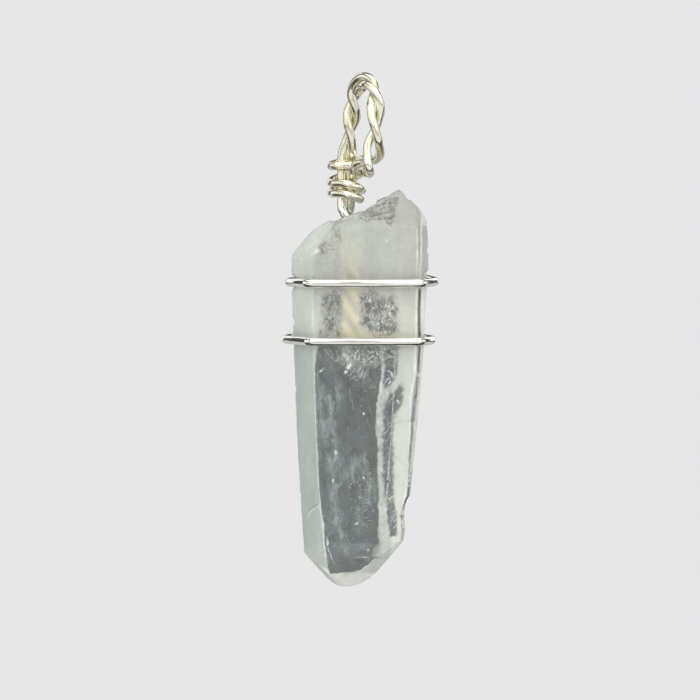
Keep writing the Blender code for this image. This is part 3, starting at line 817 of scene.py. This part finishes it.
def veilMaterial():
    made, tree, shader = newMaterial("cloudy_veil")
    place = objectPlace(tree)
    streaks = noiseAt(tree, place, 0.9, 6, (1, 1, 2.1), 0.8)
    cloud = noiseAt(tree, place, 2.1, 3, (1, 1, 1.4))
    thick = times(tree, ranged(tree, streaks, 0.40, 0.74, 0.0, 0.85), ranged(tree, cloud, 0.35, 0.65))
    alpha = maths(tree, "MULTIPLY", thick, attribute(tree, "fade"), clamp=True)
    feed(tree, shader, {"Alpha": alpha})
    setGlowing(tree, shader, 0.7, inside["veilGlow"])
    return made


def flakeMaterial():
    made, tree, shader = newMaterial("faint_flake")
    setGlowing(tree, shader, 0.35, inside["flakeGlow"])
    return made


def sheetHolder(field, corners=24):
    # A round or oval sheet on which the flakes are strewn, at its place in the photograph, and its area.
    points = []
    for i in range(corners):
        turn = i / corners * math.tau
        across = field["x"] + field["wide"] * math.cos(turn)
        down = field["y"] + field["tall"] * math.sin(turn)
        points.append(Vector((photoX(across), frontAt + inside["depth"], photoZ(down))) * mm)
    mesh = bpy.data.meshes.new("flakes")
    mesh.from_pydata(points, [], [tuple(range(corners))])
    area = math.pi * field["wide"] * field["tall"] * (photo["scale"] * mm) ** 2
    return newObject("flakes", mesh), area


def addFlake(shape, x, y, long, wide, lean):
    # One uneven lens, flattened and turned in the plane of the front.
    lens = bmesh.ops.create_icosphere(shape, subdivisions=2, radius=long / 2 * mm)
    lean = math.radians(lean)
    slim = wide / long
    middle = Vector((photoX(x), frontAt + inside["singleDepth"], photoZ(y))) * mm
    for vert in lens["verts"]:
        bulge = noise.noise(vert.co / mm * 6 + Vector((x, y, 0)))
        flat = Vector((vert.co.x * slim, vert.co.y * inside["singleFlat"] * slim, vert.co.z))
        flat = flat * (1 + inside["singleRough"] * bulge)
        turned = Vector((
            flat.x * math.cos(lean) + flat.z * math.sin(lean),
            flat.y,
            flat.z * math.cos(lean) - flat.x * math.sin(lean),
        ))
        vert.co = turned + middle


def makeFlakes():
    # The strewn flakes and the single ones, in one mesh.
    tree = scatterTree()
    look = flakeMaterial()
    made = []
    for i, field in enumerate(flakeFields):
        holder, area = sheetHolder(field)
        turn = field.get("turn", inside["turn"])
        made.append(grown(holder, tree, {
            "Density": field["count"] / area,
            "Size": inside["flakeSize"] * mm,
            "Spread": inside["spread"] * mm,
            "Least Scale": field["least"],
            "Most Scale": field["most"],
            "Least Turn": (-turn,) * 3,
            "Most Turn": (turn,) * 3,
            "Seed": inside["seed"] + i,
            "Look": look,
        }))
    shape = bmesh.new()
    for mesh in made:
        shape.from_mesh(mesh)
    for row in singleFlakes:
        addFlake(shape, *row)
    mesh = bpy.data.meshes.new("bright_flakes")
    shape.to_mesh(mesh)
    shape.free()
    mesh.materials.append(look)
    return newObject("bright_flakes", mesh)


# Wires

wire = dict(
    radius=0.51,  # millimetres
    sides=22,
    step=0.15,  # millimetres between the rings of points
    dents=0.012,  # millimetres that the slight dents go in and out
    dentSize=2.2,
    scratchesAround=14,  # fine marks along the wire, from noise with this many steps in a turn
    scratchesAlong=260,  # and in a metre
    colour=(0.96, 0.95, 0.91),
    warmColour=(0.975, 0.95, 0.80),
    tarnishColour=(0.80, 0.70, 0.44),
    warmFrom=-11.5,  # millimetres from the bail's inner top, above which the silver is warmer
)


def ringCentres(node):
    # The wire's own centre line in millimetres: the middle of each ring of points of the CAD tube.
    shape = mergedCopy(node)
    ring = endRing(shape)
    shape.verts.ensure_lookup_table()
    found = []
    seen = set(ring)
    while ring:
        points = [shape.verts[i].co for i in ring]
        found.append(sum(points, Vector()) / len(points))
        following = set()
        for i in ring:
            for edge in shape.verts[i].link_edges:
                other = edge.other_vert(shape.verts[i]).index
                if other not in seen:
                    following.add(other)
        seen |= following
        ring = following
    shape.free()
    return found


def endRing(shape):
    # The points round a flat end: a flat patch of faces whose points all lie as far out as the wire's radius.
    shape.verts.index_update()
    left = dict.fromkeys(shape.faces)
    while left:
        start = next(iter(left))
        del left[start]
        group = [start]
        for face in group:
            for edge in face.edges:
                for other in edge.link_faces:
                    if other in left and other.normal.angle(start.normal) < 0.01:
                        del left[other]
                        group.append(other)
        ring = {vert.index: vert.co for face in group for vert in face.verts}
        middle = sum(ring.values(), Vector()) / len(ring)
        reach = [(place - middle).length / wire["radius"] for place in ring.values()]
        if len(ring) >= 8 and min(reach) > 0.9 and max(reach) < 1.1:
            return set(ring)
    raise ValueError("a wire has no flat end")


def stored(tree, geometry, name, value):
    # The geometry with a value kept at its points, for the metal's finish.
    values = {"Geometry": geometry, "Name": name, "Value": value}
    return addNode(
        tree, "GeometryNodeStoreNamedAttribute", values, data_type="FLOAT", domain="POINT"
    ).outputs[0]


def wireTree():
    # Geometry nodes that draw a round wire along a chain of edges.
    tree, given = newTree("wire_along_path", {
        "Float": ("Wire Radius", "Step", "Dent Depth", "Dent Size"),
        "Int": ("Sides",),
        "Material": ("Metal",),
    })
    path = addNode(tree, "GeometryNodeMeshToCurve", {"Mesh": given["Geometry"]}).outputs[0]
    smooth = addNode(tree, "GeometryNodeCurveSplineType", {"Curve": path}, spline_type="CATMULL_ROM")
    chain = {"Curve": smooth.outputs[0], "Length": given["Step"]}
    even = addNode(tree, "GeometryNodeResampleCurve", chain, mode="LENGTH")
    length = addNode(tree, "GeometryNodeSplineParameter").outputs["Length"]
    along = stored(tree, even.outputs[0], "along", length)
    ring = addNode(
        tree,
        "GeometryNodeCurvePrimitiveCircle",
        {"Resolution": given["Sides"], "Radius": given["Wire Radius"]},
    )
    part = addNode(tree, "GeometryNodeSplineParameter").outputs["Factor"]
    around = stored(tree, ring.outputs[0], "around", part)
    tube = addNode(
        tree, "GeometryNodeCurveToMesh", {"Curve": along, "Profile Curve": around, "Fill Caps": True}
    )
    place = addNode(tree, "GeometryNodeInputPosition").outputs[0]
    dentScale = maths(tree, "DIVIDE", 1, given["Dent Size"])
    dents = addNode(tree, "ShaderNodeTexNoise", {"Vector": place, "Scale": dentScale, "Detail": 1.5})
    depth = times(tree, maths(tree, "SUBTRACT", dents.outputs["Fac"], 0.5), given["Dent Depth"])
    outward = addNode(tree, "GeometryNodeInputNormal").outputs[0]
    push = addNode(tree, "ShaderNodeVectorMath", {0: outward, "Scale": depth}, operation="SCALE")
    dented = addNode(
        tree, "GeometryNodeSetPosition", {"Geometry": tube.outputs[0], "Offset": push.outputs[0]}
    )
    soft = addNode(tree, "GeometryNodeSetShadeSmooth", {"Geometry": dented.outputs[0]})
    return endTree(tree, soft.outputs[0], given["Metal"])


def grown(holder, tree, values):
    # The tree's result on the object as a plain mesh.
    modifier = holder.modifiers.new("grow", "NODES")
    modifier.node_group = tree
    for item in tree.interface.items_tree:
        if item.in_out == "INPUT" and item.name in values:
            modifier[item.identifier] = values[item.name]
    graph = bpy.context.evaluated_depsgraph_get()
    mesh = bpy.data.meshes.new_from_object(holder.evaluated_get(graph))
    bpy.data.objects.remove(holder)
    return mesh


def flatEnds(mesh):
    # The wire's cut ends keep their sharp rim.
    for polygon in mesh.polygons:
        if len(polygon.vertices) > 4:
            polygon.use_smooth = False
    mesh.set_sharp_from_angle(angle=math.radians(50))


def makeWire(name, node, tree, metal):
    points = [point * mm for point in ringCentres(node)]
    chain = bpy.data.meshes.new(name)
    chain.from_pydata(points, [(i, i + 1) for i in range(len(points) - 1)], [])
    mesh = grown(newObject(name + "_path", chain), tree, {
        "Wire Radius": wire["radius"] * mm,
        "Step": wire["step"] * mm,
        "Dent Depth": wire["dents"] * mm,
        "Dent Size": wire["dentSize"] * mm,
        "Sides": wire["sides"],
        "Metal": metal,
    })
    flatEnds(mesh)
    return newObject(name, mesh)


def wireMaterial():
    # Bright silver with fine scratches, warmer, duller and more tarnished on the neck and the bail.
    made, tree, shader = newMaterial("polished_silver")
    place = objectPlace(tree)
    clouds = noiseAt(tree, place, 1.3, 3)
    fine = noiseAt(tree, place, 0.12, 4)
    onWire = addNode(
        tree,
        "ShaderNodeCombineXYZ",
        {
            "X": times(tree, attribute(tree, "around"), wire["scratchesAround"]),
            "Y": times(tree, attribute(tree, "along"), wire["scratchesAlong"]),
        },
    )
    scratches = addNode(
        tree, "ShaderNodeTexNoise", {"Vector": onWire.outputs[0], "Scale": 1.0, "Detail": 4}
    ).outputs["Fac"]
    height = addNode(tree, "ShaderNodeSeparateXYZ", {"Vector": place}).outputs["Z"]
    handled = ranged(tree, height, (wire["warmFrom"] - 4) * mm, wire["warmFrom"] * mm)
    tarnish = times(
        tree, ranged(tree, clouds, 0.45, 0.7, 0.0, 0.7), ranged(tree, handled, 0, 1, 0.35, 1.0)
    )
    colour = mixedColour(tree, handled, wire["colour"], wire["warmColour"])
    colour = mixedColour(tree, tarnish, colour, wire["tarnishColour"])
    rough = ranged(tree, scratches, 0.35, 0.7, 0.08, 0.17)
    rough = maths(tree, "ADD", rough, times(tree, tarnish, 0.12))
    rough = maths(tree, "ADD", rough, times(tree, handled, 0.08))
    relief = maths(tree, "ADD", scratches, times(tree, fine, 0.25))
    bump = addNode(tree, "ShaderNodeBump", {"Strength": 0.16, "Distance": 0.02 * mm, "Height": relief})
    feed(tree, shader, {"Base Color": colour, "Roughness": rough, "Metallic": 1, "Normal": bump.outputs[0]})
    return made


# Stage, light and camera

stage = dict(
    floor=-130.0,  # millimetres below the bail
    radius=2000.0,
    wall=1185.0,  # its height over the floor
    sweep=540.0,  # radius of the curve between floor and wall
    bends=12,  # steps in that curve
    turns=96,  # and round the stage
    colour=(0.03, 0.03, 0.03),
    glow=0.78,  # the floor and wall are lit from within, as a light tent is, so no horizon shows
    sky=0.06,
)
camera = dict(
    distance=1200.0,
    sensor=36.0,
    near=0.05,  # metres
    far=20,
)
# Soft boxes round the pendant, each at its bearing from the camera's side and its height angle, in degrees.
# A flat one lies level and lights upwards. One without through isn't seen through the stone.
lamps = [
    dict(name="right", bearing=34, rise=25, away=1000, size=(900, 1130), glare=1.5),
    dict(name="left", bearing=-34, rise=25, away=1000, size=(900, 1130), glare=1.2),
    dict(name="top", bearing=0, rise=82, away=960, size=(1500, 1350), glare=1.2),
    dict(name="front", bearing=0, rise=12, away=1250, size=(440, 1100), glare=0.45, through=False),
    dict(name="right_side", bearing=86, rise=14, away=1000, size=(860, 860), glare=0.85),
    dict(name="left_side", bearing=-86, rise=14, away=1000, size=(860, 860), glare=0.85),
    dict(name="right_back", bearing=150, rise=20, away=1000, size=(480, 860), glare=1.1),
    dict(name="left_back", bearing=-150, rise=20, away=1000, size=(480, 860), glare=0.9),
    dict(
        name="front_table", bearing=0, rise=-19, away=260, size=(800, 360), glare=0.8,
        flat=True, through=False,
    ),
    dict(
        name="back_table", bearing=180, rise=-19, away=260, size=(800, 360), glare=0.5,
        flat=True, through=False,
    ),
]


def makeFloor():
    # A round floor that sweeps up into a wall on all sides.
    level = stage["radius"] - stage["sweep"]
    outline = [(0.0, 0.0), (level, 0.0)]
    for i in range(1, stage["bends"] + 1):
        a = i / stage["bends"] * math.pi / 2
        outline.append((level + stage["sweep"] * math.sin(a), stage["sweep"] * (1 - math.cos(a))))
    outline.append((stage["radius"], stage["wall"]))
    shape = bmesh.new()
    line = [shape.verts.new((r * mm, 0, (stage["floor"] + z) * mm)) for r, z in outline]
    edges = [shape.edges.new(pair) for pair in zip(line[:-1], line[1:])]
    bmesh.ops.spin(
        shape, geom=line + edges, cent=(0, 0, 0), axis=(0, 0, 1), angle=math.tau, steps=stage["turns"],
        use_merge=True,
    )
    bmesh.ops.remove_doubles(shape, verts=shape.verts, dist=1e-5)
    bmesh.ops.recalc_face_normals(shape, faces=shape.faces)
    mesh = bpy.data.meshes.new("floor")
    shape.to_mesh(mesh)
    shape.free()
    mesh.shade_smooth()
    made, tree, shader = newMaterial("pale_floor")
    feed(tree, shader, {
        "Base Color": stage["colour"],
        "Roughness": 0.9,
        "Specular IOR Level": 0,
        "Emission Color": (1, 1, 1),
        "Emission Strength": stage["glow"],
    })
    mesh.materials.append(made)
    floor = newObject("floor", mesh)
    floor.visible_glossy = False
    floor.visible_transmission = False


def makeLights(middle):
    for row in lamps:
        data = bpy.data.lights.new(row["name"], "AREA")
        data.shape = "RECTANGLE"
        data.size, data.size_y = (side * mm for side in row["size"])
        data.energy = row["glare"] * math.pi * data.size * data.size_y
        lamp = newObject(row["name"], data)
        bearing, rise = (math.radians(row[name]) for name in ("bearing", "rise"))
        aside = Vector((
            math.sin(bearing) * math.cos(rise), -math.cos(bearing) * math.cos(rise), math.sin(rise)
        ))
        lamp.location = middle + aside * row["away"] * mm
        lamp.rotation_mode = "QUATERNION"
        faces = Vector((0, 0, 1)) if row.get("flat") else -aside
        lamp.rotation_quaternion = faces.to_track_quat("-Z", "Y")
        lamp.visible_camera = False
        lamp.visible_transmission = row.get("through", True)
    world = bpy.data.worlds.new("studio")
    world.use_nodes = True
    sky = world.node_tree.nodes["Background"]
    feed(world.node_tree, sky, {"Color": (1, 1, 1), "Strength": stage["sky"]})
    bpy.context.scene.world = world


def makeCamera():
    half = photo["size"] / 2
    data = bpy.data.cameras.new("camera")
    data.sensor_width = camera["sensor"]
    data.lens = camera["sensor"] * camera["distance"] / (photo["size"] * photo["scale"])
    data.clip_start = camera["near"]
    data.clip_end = camera["far"]
    made = newObject("camera", data)
    made.location = Vector((photoX(half), -camera["distance"], photoZ(half))) * mm
    made.rotation_euler = (math.pi / 2, 0, 0)
    bpy.context.scene.camera = made
    bpy.context.scene.view_settings.view_transform = "Standard"


low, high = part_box("crystal")
frontAt = low.y / mm  # the crystal's front
makeFloor()
makeLights((low + high) / 2)
makeCamera()
say("stage, lights and camera")

point = makeCrystal()
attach(point, "root")
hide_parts("crystal")
say(f"crystal, {len(point.data.polygons)} faces")

for piece in (makeCurtains(), makeFlakes()):
    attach(piece, "root")
    say(f"{piece.name}, {len(piece.data.polygons)} faces")

silver = wireMaterial()
alongPath = wireTree()
for node in ("lower_wire", "upper_wire"):
    strand = makeWire(node.replace("_wire", "_silver_wire"), node, alongPath, silver)
    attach(strand, "root")
    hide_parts(node)
    say(f"{node}, {len(strand.data.polygons)} faces")
